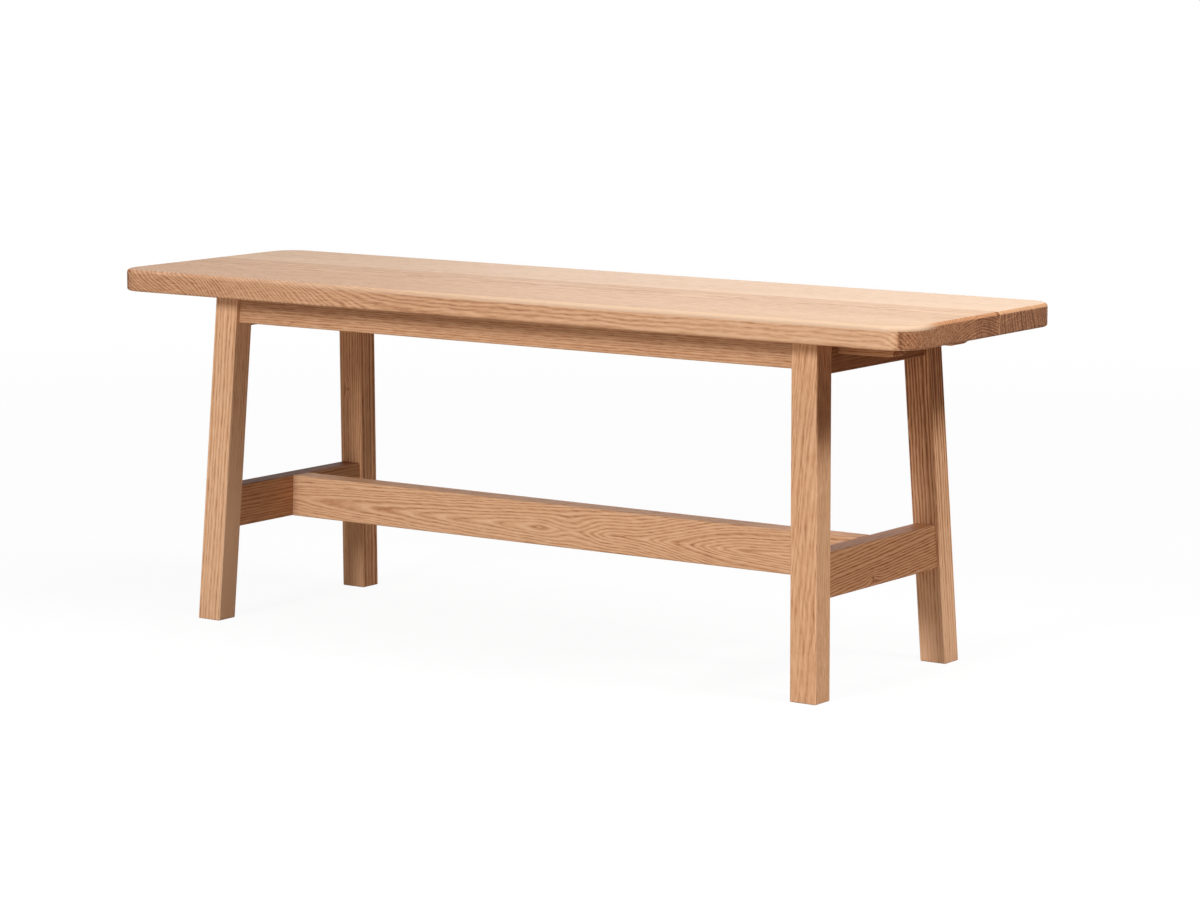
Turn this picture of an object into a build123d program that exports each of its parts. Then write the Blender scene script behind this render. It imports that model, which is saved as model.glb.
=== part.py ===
"""Backless trestle bench in solid oak: a three-stave seat slab on two splayed end frames.

Millimetres, +Z up. The origin is on the floor under the middle of the bench, +X runs along
the seat and -Y is the front. Every rail meets its legs in a blind mortise and tenon whose
shoulder follows the leg's splay, so most faces here lean a little and are worked out from
the height, by face_x and face_y.
"""
import os

from build123d import *

# Overall sizes
seat_length = 1200.0
seat_width = 350.0
bench_height = 450.0

# Seat slab, glued up from three staves
seat_thickness = 28.0
seat_corner_radius = 38.0
seat_top_round = 5.0
seat_bottom_round = 3.0
front_stave_share = 0.23
middle_stave_share = 0.36
rear_stave_share = 0.41

# Legs: section, how far the seat overhangs them, and how far the feet spread
leg_size_x = 36.0
leg_size_y = 32.0
leg_arris = 1.2
foot_arris = 0.8
seat_overhang_end = 143.0
seat_overhang_side = 35.0
leg_splay_end = 17.0
leg_splay_side = 25.0

# Aprons under the seat: two long ones and two end ones
long_apron_depth = 35.0
end_apron_depth = 42.0
apron_thickness = 20.0
apron_setback = 6.5
apron_arris = 1.0

# Stretchers: one between each pair of legs and one along the middle
stretcher_height = 119.0
stretcher_depth = 54.0
end_stretcher_thickness = 28.0
centre_stretcher_thickness = 32.0
stretcher_arris = 1.2

# Blind mortise and tenon joints
apron_tenon_thickness = 8.0
apron_tenon_shoulder = 5.0
stretcher_tenon_thickness = 10.0
stretcher_tenon_shoulder = 8.0
mortise_back_wall = 10.0
mortise_gap_wall = 2.0
tenon_clearance = 0.2
tenon_end_clearance = 0.5

# Seat bearers: two battens under the slab, let into the end aprons; only their right ends
# stand out past the end frame
bearer_depth = 20.0
bearer_thickness = 30.0
bearer_button_gap = 2.5
bearer_right_inset = 70.0
bearer_end_round = 12.0
bearer_arris = 1.5
notch_clearance = 0.2

# Seat buttons: wooden clips that hold the slab to the long aprons
button_count = 3
button_width = 24.0
button_length = 22.0
button_depth = 16.0
button_tongue_depth = 6.0
button_tongue_bite = 6.0
button_gap = 3.0
button_arris = 1.0
button_pitch_share = 0.36
slot_side_clearance = 3.0
slot_clearance = 0.2

# Countersunk wood screws
bearer_screw_count = 5
bearer_screw_pitch_share = 0.22
screw_shank_radius = 2.0
screw_head_radius = 4.0
screw_head_rim = 0.4
screw_head_depth = 2.6
screw_tip_length = 4.0
screw_tip_radius = 0.4
screw_sides = 12
screw_seat_bite = 16.0
screw_head_sink = 0.4
screw_clearance = 0.15
cut_overrun = 1.0

# Values worked out from the sizes above
leg_height = bench_height - seat_thickness
stretcher_top = stretcher_height + stretcher_depth
long_apron_bottom = leg_height - long_apron_depth
end_apron_bottom = leg_height - end_apron_depth
leg_face_x = seat_length / 2 - seat_overhang_end
leg_face_y = seat_width / 2 - seat_overhang_side
bearer_bottom = leg_height - bearer_depth
long_tenon_length = (
    leg_size_x
    - apron_setback
    - (apron_thickness + apron_tenon_thickness) / 2
    - mortise_gap_wall
)
leg_tenon_length = leg_size_y - mortise_back_wall
centre_tenon_length = end_stretcher_thickness - mortise_back_wall
stretcher_setback = (leg_size_x - end_stretcher_thickness) / 2


def face_x(z, inset=0.0):
    """X of the legs' outer end face at height z, moved in by inset."""
    return leg_face_x + leg_splay_end * (1 - z / leg_height) - inset


def face_y(z, inset=0.0):
    """Y of the legs' outer side face at height z, moved in by inset."""
    return leg_face_y + leg_splay_side * (1 - z / leg_height) - inset


def bar(section_plane, low, high, near, far, reach, arris=0.0, soften_top=True):
    """Straight bar centred on the plane of its section.

    near(z) and far(z) give its two long faces and reach(z) its half length at height z,
    so that its faces and shoulders lean with the legs. arris is the chamfer along it.
    """
    side_plane = Plane.XZ if section_plane == Plane.YZ else Plane.YZ
    with BuildPart() as blank:
        with BuildSketch(section_plane) as section:
            with BuildLine():
                Polyline(
                    (near(low), low),
                    (far(low), low),
                    (far(high), high),
                    (near(high), high),
                    close=True,
                )
            make_face()
            if arris:
                rows = section.vertices().group_by(Axis.Y)
                corners = rows[0] + rows[-1] if soften_top else rows[0]
                chamfer(corners, length=arris)
        extrude(amount=seat_length, both=True)
        with BuildSketch(side_plane):
            with BuildLine():
                Polyline(
                    (-reach(low), low),
                    (reach(low), low),
                    (reach(high), high),
                    (-reach(high), high),
                    close=True,
                )
            make_face()
        extrude(amount=seat_length, both=True, mode=Mode.INTERSECT)
    return blank.part


def long_apron_tenons(clearance=0.0, end_clearance=0.0):
    """Bar that holds both tenons of the front apron; with a clearance, its mortises."""
    cheek = (apron_thickness - apron_tenon_thickness) / 2
    return bar(
        Plane.YZ,
        long_apron_bottom + apron_tenon_shoulder - clearance,
        leg_height - apron_tenon_shoulder + clearance,
        lambda z: -face_y(z, apron_setback + cheek - clearance),
        lambda z: -face_y(z, apron_setback + apron_thickness - cheek + clearance),
        lambda z: face_x(z, leg_size_x - long_tenon_length - end_clearance),
    )


def end_apron_tenons(clearance=0.0, end_clearance=0.0):
    """Bar that holds both tenons of the right end apron; with a clearance, its mortises."""
    cheek = (apron_thickness - apron_tenon_thickness) / 2
    return bar(
        Plane.XZ,
        end_apron_bottom + apron_tenon_shoulder - clearance,
        leg_height - apron_tenon_shoulder + clearance,
        lambda z: face_x(z, apron_setback + apron_thickness - cheek + clearance),
        lambda z: face_x(z, apron_setback + cheek - clearance),
        lambda z: face_y(z, leg_size_y - leg_tenon_length - end_clearance),
    )


def end_stretcher_tenons(clearance=0.0, end_clearance=0.0):
    """Bar that holds both tenons of the right end stretcher; with a clearance, its mortises."""
    cheek = (end_stretcher_thickness - stretcher_tenon_thickness) / 2
    return bar(
        Plane.XZ,
        stretcher_height + stretcher_tenon_shoulder - clearance,
        stretcher_top - stretcher_tenon_shoulder + clearance,
        lambda z: face_x(z, leg_size_x - stretcher_setback - cheek + clearance),
        lambda z: face_x(z, stretcher_setback + cheek - clearance),
        lambda z: face_y(z, leg_size_y - leg_tenon_length - end_clearance),
    )


def centre_stretcher_tenons(clearance=0.0, end_clearance=0.0):
    """Bar that holds both tenons of the centre stretcher; with a clearance, its mortises."""
    half = stretcher_tenon_thickness / 2 + clearance
    inner_face = stretcher_setback + end_stretcher_thickness
    return bar(
        Plane.YZ,
        stretcher_height + stretcher_tenon_shoulder - clearance,
        stretcher_top - stretcher_tenon_shoulder + clearance,
        lambda z: -half,
        lambda z: half,
        lambda z: face_x(z, inner_face - centre_tenon_length - end_clearance),
    )


def screw(length, clearance=0.0):
    """Countersunk wood screw standing point up, its head's flat at z = 0.

    With a clearance it is the hole that the screw lies in, open below the head.
    """
    shank = screw_shank_radius + clearance
    head = screw_head_radius + clearance
    opening = screw_head_sink + cut_overrun if clearance else 0.0
    rings = [
        (-opening, head),
        (screw_head_rim, head),
        (screw_head_depth, shank),
        (length - screw_tip_length, shank),
        (length + clearance, screw_tip_radius + clearance),
    ]
    with BuildPart() as turned:
        for height, radius in rings:
            with BuildSketch(Plane.XY.offset(height)):
                RegularPolygon(radius, screw_sides)
        loft(ruled=True)
    return turned.part


def places_under_seat(centre, pitch, row, count, z):
    """Places in two rows along the bench about x = centre, row off its middle line."""
    grid = GridLocations(pitch, 2 * row, count, len(row_sides))
    return [Pos(centre, 0, z) * place for place in grid]


def save(piece, name):
    """Labels a finished piece and writes it."""
    piece.label = name
    export_step(piece, f"parts/{name}.step")


os.makedirs("parts", exist_ok=True)

# Places that repeat along the bench
leg_sides = {
    "front_left": (-1, -1),
    "front_right": (1, -1),
    "rear_left": (-1, 1),
    "rear_right": (1, 1),
}
row_sides = {"front": -1, "rear": 1}
stave_shares = {
    "front": front_stave_share,
    "middle": middle_stave_share,
    "rear": rear_stave_share,
}
end_sides = {"left": -1, "right": 1}
button_back = face_y(leg_height, apron_setback + apron_thickness) - button_gap
button_middle = button_back - button_length / 2
button_pitch = button_pitch_share * 2 * leg_face_x
button_bottom = leg_height - button_depth
button_screw_z = button_bottom + screw_head_sink
button_screw_length = button_depth - screw_head_sink + screw_seat_bite
bearer_front_face = button_back - button_length - bearer_button_gap
bearer_middle = bearer_front_face - bearer_thickness / 2
bearer_left = -face_x(leg_height, apron_setback)
bearer_right = seat_length / 2 - bearer_right_inset
bearer_length = bearer_right - bearer_left
bearer_centre = (bearer_left + bearer_right) / 2
bearer_screw_pitch = bearer_screw_pitch_share * bearer_length
bearer_screw_z = bearer_bottom + screw_head_sink
bearer_screw_length = bearer_depth - screw_head_sink + screw_seat_bite
bearer_screw_places = places_under_seat(
    bearer_centre, bearer_screw_pitch, bearer_middle, bearer_screw_count, bearer_screw_z
)
button_screw_places = places_under_seat(
    0, button_pitch, button_middle, button_count, button_screw_z
)

# Screws, and the holes that they lie in, at their places under the seat
bearer_screw = screw(bearer_screw_length)
bearer_screw_hole = screw(bearer_screw_length, screw_clearance)
button_screw = screw(button_screw_length)
button_screw_hole = screw(button_screw_length, screw_clearance)

with BuildPart() as bearer_screws:
    with Locations(*bearer_screw_places):
        add(bearer_screw)
save(bearer_screws.part, "bearer_screws")

with BuildPart() as button_screws:
    with Locations(*button_screw_places):
        add(button_screw)
save(button_screws.part, "button_screws")

# Seat staves: the rounded slab, cut along its two glue lines and drilled for the screws
stave_front = -seat_width / 2
for stave_name, stave_share in stave_shares.items():
    stave_width = stave_share * seat_width
    with BuildPart() as stave:
        with BuildSketch(Plane.XY.offset(leg_height)):
            RectangleRounded(seat_length, seat_width, seat_corner_radius)
        extrude(amount=seat_thickness)
        fillet(stave.faces().sort_by(Axis.Z)[-1].edges(), radius=seat_top_round)
        fillet(stave.faces().sort_by(Axis.Z)[0].edges(), radius=seat_bottom_round)
        with BuildSketch(Plane.XY.offset(leg_height)):
            with Locations((0, stave_front + stave_width / 2)):
                Rectangle(seat_length, stave_width)
        extrude(amount=seat_thickness, mode=Mode.INTERSECT)
        with Locations(*bearer_screw_places):
            add(bearer_screw_hole, mode=Mode.SUBTRACT)
        with Locations(*button_screw_places):
            add(button_screw_hole, mode=Mode.SUBTRACT)
    save(stave.part, f"seat_stave_{stave_name}")
    stave_front += stave_width

# Legs: a bar of one section all the way, leaning outwards both ways and cut flat at its ends
leg_lean = Vector(-leg_splay_end, leg_splay_side, leg_height)
with BuildPart() as leg_blank:
    with BuildSketch(Plane.XY) as leg_section:
        with Locations((face_x(0, leg_size_x / 2), -face_y(0, leg_size_y / 2))):
            Rectangle(leg_size_x, leg_size_y)
        chamfer(leg_section.vertices(), length=leg_arris)
    extrude(amount=leg_lean.length, dir=leg_lean)
    chamfer(leg_blank.faces().sort_by(Axis.Z)[0].edges(), length=foot_arris)
    add(long_apron_tenons(tenon_clearance, tenon_end_clearance), mode=Mode.SUBTRACT)
    add(end_apron_tenons(tenon_clearance, tenon_end_clearance), mode=Mode.SUBTRACT)
    add(end_stretcher_tenons(tenon_clearance, tenon_end_clearance), mode=Mode.SUBTRACT)

for leg_name, (side_x, side_y) in leg_sides.items():
    with BuildPart() as leg:
        add(leg_blank.part)
        if side_x < 0:
            mirror(about=Plane.YZ, mode=Mode.REPLACE)
        if side_y > 0:
            mirror(about=Plane.XZ, mode=Mode.REPLACE)
    save(leg.part, f"leg_{leg_name}")

# Long aprons: leaning with the legs, tenoned at both ends, with slots for the seat buttons
slot_low = button_bottom - slot_clearance
slot_high = button_bottom + button_tongue_depth + slot_clearance
slot_bite = button_tongue_bite + tenon_end_clearance
with BuildPart() as long_apron:
    add(
        bar(
            Plane.YZ,
            long_apron_bottom,
            leg_height,
            lambda z: -face_y(z, apron_setback),
            lambda z: -face_y(z, apron_setback + apron_thickness),
            lambda z: face_x(z, leg_size_x),
            apron_arris,
            soften_top=False,
        )
    )
    add(long_apron_tenons())
    slot_face = -face_y(slot_low, apron_setback + apron_thickness)
    with BuildSketch(Plane.XY.offset(slot_low)):
        with Locations((0, slot_face)):
            with GridLocations(button_pitch, 0, button_count, 1):
                Rectangle(button_width + 2 * slot_side_clearance, 2 * slot_bite)
    extrude(amount=slot_high - slot_low, mode=Mode.SUBTRACT)

for row_name, side_y in row_sides.items():
    with BuildPart() as apron:
        add(long_apron.part)
        if side_y > 0:
            mirror(about=Plane.XZ, mode=Mode.REPLACE)
    save(apron.part, f"apron_{row_name}")

# End aprons: deeper, tenoned at both ends, with two notches that the seat bearers lie in
with BuildPart() as end_apron:
    add(
        bar(
            Plane.XZ,
            end_apron_bottom,
            leg_height,
            lambda z: face_x(z, apron_setback + apron_thickness),
            lambda z: face_x(z, apron_setback),
            lambda z: face_y(z, leg_size_y),
            apron_arris,
            soften_top=False,
        )
    )
    add(end_apron_tenons())
    with BuildSketch(Plane.XY.offset(bearer_bottom - notch_clearance)):
        with Locations((leg_face_x, 0)):
            with GridLocations(0, 2 * bearer_middle, 1, 2):
                Rectangle(2 * leg_size_x, bearer_thickness + 2 * notch_clearance)
    extrude(amount=bearer_depth + notch_clearance, mode=Mode.SUBTRACT)

for end_name, side_x in end_sides.items():
    with BuildPart() as apron:
        add(end_apron.part)
        if side_x < 0:
            mirror(about=Plane.YZ, mode=Mode.REPLACE)
    save(apron.part, f"apron_{end_name}")

# End stretchers: between the legs of a pair, with a mortise for the centre stretcher
with BuildPart() as end_stretcher:
    add(
        bar(
            Plane.XZ,
            stretcher_height,
            stretcher_top,
            lambda z: face_x(z, stretcher_setback + end_stretcher_thickness),
            lambda z: face_x(z, stretcher_setback),
            lambda z: face_y(z, leg_size_y),
            stretcher_arris,
        )
    )
    add(end_stretcher_tenons())
    add(centre_stretcher_tenons(tenon_clearance, tenon_end_clearance), mode=Mode.SUBTRACT)

for end_name, side_x in end_sides.items():
    with BuildPart() as stretcher:
        add(end_stretcher.part)
        if side_x < 0:
            mirror(about=Plane.YZ, mode=Mode.REPLACE)
    save(stretcher.part, f"end_stretcher_{end_name}")

# Centre stretcher: from one end stretcher to the other, its shoulders cut to their lean
with BuildPart() as centre_stretcher:
    add(
        bar(
            Plane.YZ,
            stretcher_height,
            stretcher_top,
            lambda z: -centre_stretcher_thickness / 2,
            lambda z: centre_stretcher_thickness / 2,
            lambda z: face_x(z, stretcher_setback + end_stretcher_thickness),
            stretcher_arris,
        )
    )
    add(centre_stretcher_tenons())
save(centre_stretcher.part, "centre_stretcher")

# Seat bearers: battens screwed up into the slab, flush with the left end apron and standing
# out past the right one with a rounded foot
for row_name, side_y in row_sides.items():
    with BuildPart() as bearer:
        with BuildSketch(Plane.XZ.offset(-side_y * bearer_middle)) as bearer_side:
            with Locations((bearer_centre, leg_height - bearer_depth / 2)):
                Rectangle(bearer_length, bearer_depth)
            right_foot = bearer_side.vertices().group_by(Axis.Y)[0].sort_by(Axis.X)[-1]
            fillet(right_foot, radius=bearer_end_round)
        extrude(amount=bearer_thickness / 2, both=True)
        bottom_edges = bearer.faces().sort_by(Axis.Z)[0].edges().filter_by(Axis.X)
        chamfer(bottom_edges, length=bearer_arris)
        with Locations(*bearer_screw_places):
            add(bearer_screw_hole, mode=Mode.SUBTRACT)
    save(bearer.part, f"seat_bearer_{row_name}")

# Seat buttons: blocks under the slab, each with a tongue in a slot of a long apron
with BuildPart() as button_blank:
    with BuildSketch(Plane.YZ):
        tongue_tip = face_y(slot_low, apron_setback + apron_thickness) + button_tongue_bite
        with BuildLine():
            Polyline(
                (-button_back + button_length, leg_height),
                (-button_back, leg_height),
                (-button_back, button_bottom + button_tongue_depth),
                (-tongue_tip, button_bottom + button_tongue_depth),
                (-tongue_tip, button_bottom),
                (-button_back + button_length, button_bottom),
                close=True,
            )
        make_face()
    extrude(amount=button_width / 2, both=True)
    chamfer(button_blank.faces().sort_by(Axis.Y)[-1].edges(), length=button_arris)
    with Locations((0, -button_middle, button_screw_z)):
        add(button_screw_hole, mode=Mode.SUBTRACT)

for row_name, side_y in row_sides.items():
    for number in range(button_count):
        place = (number - (button_count - 1) / 2) * button_pitch
        with BuildPart() as button:
            with Locations((place, 0, 0)):
                add(button_blank.part)
            if side_y > 0:
                mirror(about=Plane.XZ, mode=Mode.REPLACE)
        save(button.part, f"seat_button_{row_name}_{number + 1}")
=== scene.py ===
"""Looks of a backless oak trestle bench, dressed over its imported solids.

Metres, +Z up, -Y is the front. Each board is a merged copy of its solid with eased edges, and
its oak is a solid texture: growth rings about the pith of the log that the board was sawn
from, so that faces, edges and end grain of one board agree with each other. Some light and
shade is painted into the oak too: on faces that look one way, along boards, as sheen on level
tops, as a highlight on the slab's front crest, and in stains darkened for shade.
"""
import logging
import math
from dataclasses import dataclass
from enum import Enum

import bmesh
import bpy
from mathutils import Matrix, Vector


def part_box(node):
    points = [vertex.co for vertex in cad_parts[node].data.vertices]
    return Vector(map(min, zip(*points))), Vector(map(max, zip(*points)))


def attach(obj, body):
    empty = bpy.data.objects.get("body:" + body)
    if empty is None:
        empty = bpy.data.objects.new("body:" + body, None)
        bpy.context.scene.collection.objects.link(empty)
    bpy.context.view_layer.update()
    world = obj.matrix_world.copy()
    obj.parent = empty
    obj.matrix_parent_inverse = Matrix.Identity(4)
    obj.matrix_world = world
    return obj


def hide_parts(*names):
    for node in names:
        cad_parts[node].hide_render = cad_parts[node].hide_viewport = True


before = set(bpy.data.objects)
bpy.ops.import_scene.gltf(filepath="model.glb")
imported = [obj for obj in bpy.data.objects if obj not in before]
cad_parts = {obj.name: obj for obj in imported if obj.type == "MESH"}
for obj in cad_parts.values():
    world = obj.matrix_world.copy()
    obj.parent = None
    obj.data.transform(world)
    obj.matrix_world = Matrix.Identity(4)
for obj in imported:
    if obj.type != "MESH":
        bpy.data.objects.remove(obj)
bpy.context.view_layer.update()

log = logging.getLogger("bench")

BODY = "root"
MILLIMETRE = 0.001
WHITE = (1.0, 1.0, 1.0, 1.0)
NOISE_MEAN = 0.5

Pair = tuple[float, float]
Triple = tuple[float, float, float]
Quad = tuple[float, float, float, float]
Socket = bpy.types.NodeSocket


class Along(Enum):
    """The axis that a board's grain runs along."""

    X = 0
    Y = 1
    Z = 2


class Slot(Enum):
    """The record's material slots."""

    SEAT = "oak_seat"
    FRAME = "oak_frame"
    STEEL = "screw_steel"


class Looks(Enum):
    """Which way a face looks: an axis, and which way along it."""

    RIGHT = (0, 1)
    FRONT = (1, -1)
    UP = (2, 1)


def linear(colour: Triple) -> Quad:
    """Turns a colour as it is seen on a screen into the light that it reflects.

    Args:
        colour: Red, green and blue, from 0 to 1.

    Returns:
        The linear colour with an alpha of 1.
    """
    toe, slope, offset, power = 0.04045, 12.92, 0.055, 2.4
    red, green, blue = (
        part / slope if part <= toe else ((part + offset) / (1 + offset)) ** power
        for part in colour
    )
    return red, green, blue, 1.0


def add_object(name: str, data: bpy.types.ID) -> bpy.types.Object:
    """Puts a new object in the scene.

    Args:
        name: Its name.
        data: Its mesh, lamp or camera.

    Returns:
        The object.
    """
    made = bpy.data.objects.new(name, data)
    bpy.context.scene.collection.objects.link(made)
    return made


class Value:
    """A number that a tree works out: an output socket with arithmetic."""

    def __init__(self, tree: "Tree", socket: Socket) -> None:
        """Keeps the socket and the tree that it belongs to."""
        self.tree = tree
        self.socket = socket

    def __add__(self, other: "Value | float") -> "Value":
        """This value plus another."""
        return self.tree.maths("ADD", self, other)

    def __radd__(self, other: float) -> "Value":
        """A number plus this value."""
        return self.tree.maths("ADD", other, self)

    def __sub__(self, other: "Value | float") -> "Value":
        """This value less another."""
        return self.tree.maths("SUBTRACT", self, other)

    def __rsub__(self, other: float) -> "Value":
        """A number less this value."""
        return self.tree.maths("SUBTRACT", other, self)

    def __mul__(self, other: "Value | float") -> "Value":
        """This value times another."""
        return self.tree.maths("MULTIPLY", self, other)

    def __rmul__(self, other: float) -> "Value":
        """A number times this value."""
        return self.tree.maths("MULTIPLY", other, self)

    def __truediv__(self, other: "Value | float") -> "Value":
        """This value divided by another."""
        return self.tree.maths("DIVIDE", self, other)

    def __rtruediv__(self, other: float) -> "Value":
        """A number divided by this value."""
        return self.tree.maths("DIVIDE", other, self)

    def __abs__(self) -> "Value":
        """This value without its sign."""
        return self.tree.maths("ABSOLUTE", self)


class Tree:
    """A node tree, and the one way in which its nodes are added."""

    def __init__(self, tree: bpy.types.NodeTree) -> None:
        """Empties the tree."""
        self.tree = tree
        self.tree.nodes.clear()

    def node(
        self,
        kind: str,
        settings: dict[str, object] | None = None,
        inputs: dict[str | int, object] | None = None,
    ) -> bpy.types.Node:
        """Adds a node.

        Args:
            kind: The node's type.
            settings: Its properties, set first; "stops" are a ramp's places and colours.
            inputs: Its sockets by name or number, each with a value, what links to it, or a
                list of those.

        Returns:
            The node.
        """
        made = self.tree.nodes.new(kind)
        for key, setting in (settings or {}).items():
            if key == "stops":
                self.set_stops(made.color_ramp, setting)
            else:
                setattr(made, key, setting)
        for key, source in (inputs or {}).items():
            for each in source if isinstance(source, list) else [source]:
                self.feed(made.inputs[key], each)
        return made

    def feed(self, socket: Socket, source: object) -> None:
        """Links a value or a socket to an input, or sets it.

        Args:
            socket: The input.
            source: What it takes.
        """
        if isinstance(source, Value):
            source = source.socket
        if isinstance(source, Socket):
            self.tree.links.new(source, socket)
        else:
            socket.default_value = source

    @staticmethod
    def set_stops(ramp: bpy.types.ColorRamp, stops: list[tuple[float, tuple]]) -> None:
        """Gives a ramp its stops.

        Args:
            ramp: The ramp, which has its first two stops.
            stops: Each stop's place and colour.
        """
        for place, _ in stops[2:]:
            ramp.elements.new(place)
        for element, (place, colour) in zip(ramp.elements, stops):
            element.position = place
            element.color = colour

    def maths(self, operation: str, *sources: "Value | float") -> Value:
        """Adds a Math node on the given values.

        Args:
            operation: What it does.
            sources: Its operands.

        Returns:
            The result.
        """
        inputs = dict(enumerate(sources))
        made = self.node("ShaderNodeMath", {"operation": operation}, inputs)
        return Value(self, made.outputs[0])

    def vector(self, *parts: "Value | float") -> Socket:
        """Joins three numbers into a vector."""
        return self.node("ShaderNodeCombineXYZ", None, dict(enumerate(parts))).outputs[0]

    def split(self, source: Socket) -> list[Value]:
        """Takes a vector apart into its three numbers."""
        parts = self.node("ShaderNodeSeparateXYZ", None, {"Vector": source}).outputs
        return [Value(self, part) for part in parts]


class SurfaceTree(Tree):
    """The nodes of one material."""

    # The numbers of a Mix node's colour sockets, whose names its other sockets share.
    FIRST, SECOND, MIXED = 6, 7, 2

    def __init__(self, name: str) -> None:
        """Starts an empty material.

        Args:
            name: Its name.
        """
        self.material = bpy.data.materials.new(name)
        self.material.use_nodes = True
        super().__init__(self.material.node_tree)

    def place(self) -> Socket:
        """Where a point lies on the bench."""
        return self.node("ShaderNodeTexCoord").outputs["Object"]

    def facing(self) -> list[Value]:
        """Which way a point's surface faces, as three numbers."""
        return self.split(self.node("ShaderNodeNewGeometry").outputs["Normal"])

    def smooth(self, source: Value, low: float, high: float) -> Value:
        """Rises smoothly from 0 at low to 1 at high; with low over high it falls.

        Args:
            source: The value that is looked at.
            low: Where the result is 0.
            high: Where the result is 1.

        Returns:
            The result, from 0 to 1.
        """
        (first, start), (last, end) = sorted(((low, 0.0), (high, 1.0)))
        settings = {"interpolation_type": "SMOOTHSTEP"}
        inputs = {"Value": source, "From Min": first, "From Max": last}
        inputs |= {"To Min": start, "To Max": end}
        return Value(self, self.node("ShaderNodeMapRange", settings, inputs).outputs[0])

    def band(self, source: Value, rise: Pair, fall: Pair) -> Value:
        """Rises to 1 within one pair of limits, and falls back to 0 within another."""
        return self.smooth(source, *rise) * self.smooth(source, *fall)

    def noise(self, place: Socket, cells: "Cells", seed: float) -> Value:
        """Adds a noise texture, drawn out by its cells' sizes.

        Args:
            place: The vector that it reads.
            cells: How fine it is.
            seed: Moves the pattern, so that no two boards share it.

        Returns:
            The noise, near 0.5 on average.
        """
        seed += cells.shift
        start = (seed, seed * cells.spread[0], seed * cells.spread[1])
        inputs = {"Vector": place, "Location": start, "Scale": cells.to_metre}
        mapped = self.node("ShaderNodeMapping", {"vector_type": "POINT"}, inputs)
        inputs = {"Vector": mapped.outputs[0], "Scale": 1.0}
        inputs |= {"Detail": cells.detail, "Roughness": cells.rough}
        made = self.node("ShaderNodeTexNoise", {"noise_dimensions": "3D"}, inputs)
        return Value(self, made.outputs[0])

    def blend(
        self, factor: Value | float, first: object, second: object, how: str = "MIX"
    ) -> Socket:
        """Mixes two colours.

        Args:
            factor: Share of the second colour.
            first: The first colour.
            second: The second colour.
            how: The way that they are mixed.

        Returns:
            The mixed colour's socket.
        """
        settings = {"data_type": "RGBA", "blend_type": how}
        inputs = {"Factor": factor, self.FIRST: first, self.SECOND: second}
        return self.node("ShaderNodeMix", settings, inputs).outputs[self.MIXED]

    def dent(self, height: Value, strength: float, deep: float) -> Socket:
        """Bumps the surface by a relief from 0 to 1, so many metres deep."""
        inputs = {"Strength": strength, "Distance": deep, "Height": height}
        return self.node("ShaderNodeBump", None, inputs).outputs[0]

    def finish(self, inputs: dict[str, object]) -> bpy.types.Material:
        """Ends the tree in a Principled shader.

        Args:
            inputs: The shader's sockets.

        Returns:
            The material.
        """
        shader = self.node("ShaderNodeBsdfPrincipled", None, inputs)
        self.node("ShaderNodeOutputMaterial", None, {"Surface": shader.outputs[0]})
        return self.material


@dataclass(frozen=True)
class Cells:
    """How fine a noise is: cells to a metre along each axis, and its finer layers.

    Its shift is added to a board's seed, so that no two of its noises agree.
    """

    to_metre: Triple
    detail: float = 2.0
    rough: float = 0.5
    spread: Pair = (1.7, 2.3)
    shift: float = 0.0


@dataclass(frozen=True)
class Knot:
    """A small knot, or a swelling that has none: its place on the board's own axes, and its size.

    Its dark heart and the bend of the rings about it each have how many times longer than wide
    they are, and how many of its radii they reach.
    """

    along: float
    first: float
    second: float
    radius: float
    heart: float = 0.7
    heart_reach: Pair = (1.5, 1.2)
    bend_reach: Pair = (2.5, 4.0)
    push: float = 1.6


@dataclass(frozen=True)
class PaintedShading:
    """Painted shade, or painted light where its depth is below 0, on the faces that look one way.

    It starts at one place along the board and is full at another.
    """

    looks: Looks
    start: float
    full: float
    depth: float
    turned: Pair = (0.4, 0.8)


@dataclass(frozen=True)
class Growth:
    """How a board's log grew, where in it the board was sawn, and what light and shade is painted
    on it.

    Lengths in metres, on the board's own axes: along its grain, and then the two across it.
    """

    seed: float
    pith: Pair
    drift: Pair = (0.0, 0.0)
    ring: float = 0.0030
    sway: float = 0.008
    ripple: float = 0.0022
    taper: float = 0.0
    run_out: Triple = (0.0, 0.0, 0.1)
    step: Triple = (0.0, 0.1, 0.0)
    # Painted shade and painted light on faces that look one way.
    painted_shading: tuple[PaintedShading, ...] = ()
    tone: float = 0.0
    # Painted light and shade: lightness that changes steadily along the board, per metre.
    fade: float = 0.0
    figure: float = 1.0
    # A multiplied colour: the board's stain, and for some boards painted shade or painted light.
    stain_and_painted_shading: Triple = (1.0, 1.0, 1.0)
    knots: tuple[Knot, ...] = ()
    glued: tuple[int, ...] = ()
    dark_end: Pair | None = None
    end_figure: float = 1.0
    # Painted highlight on the slab's front crest: where it starts, where it is full, and its share.
    painted_crest_highlight: Triple | None = None


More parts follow.
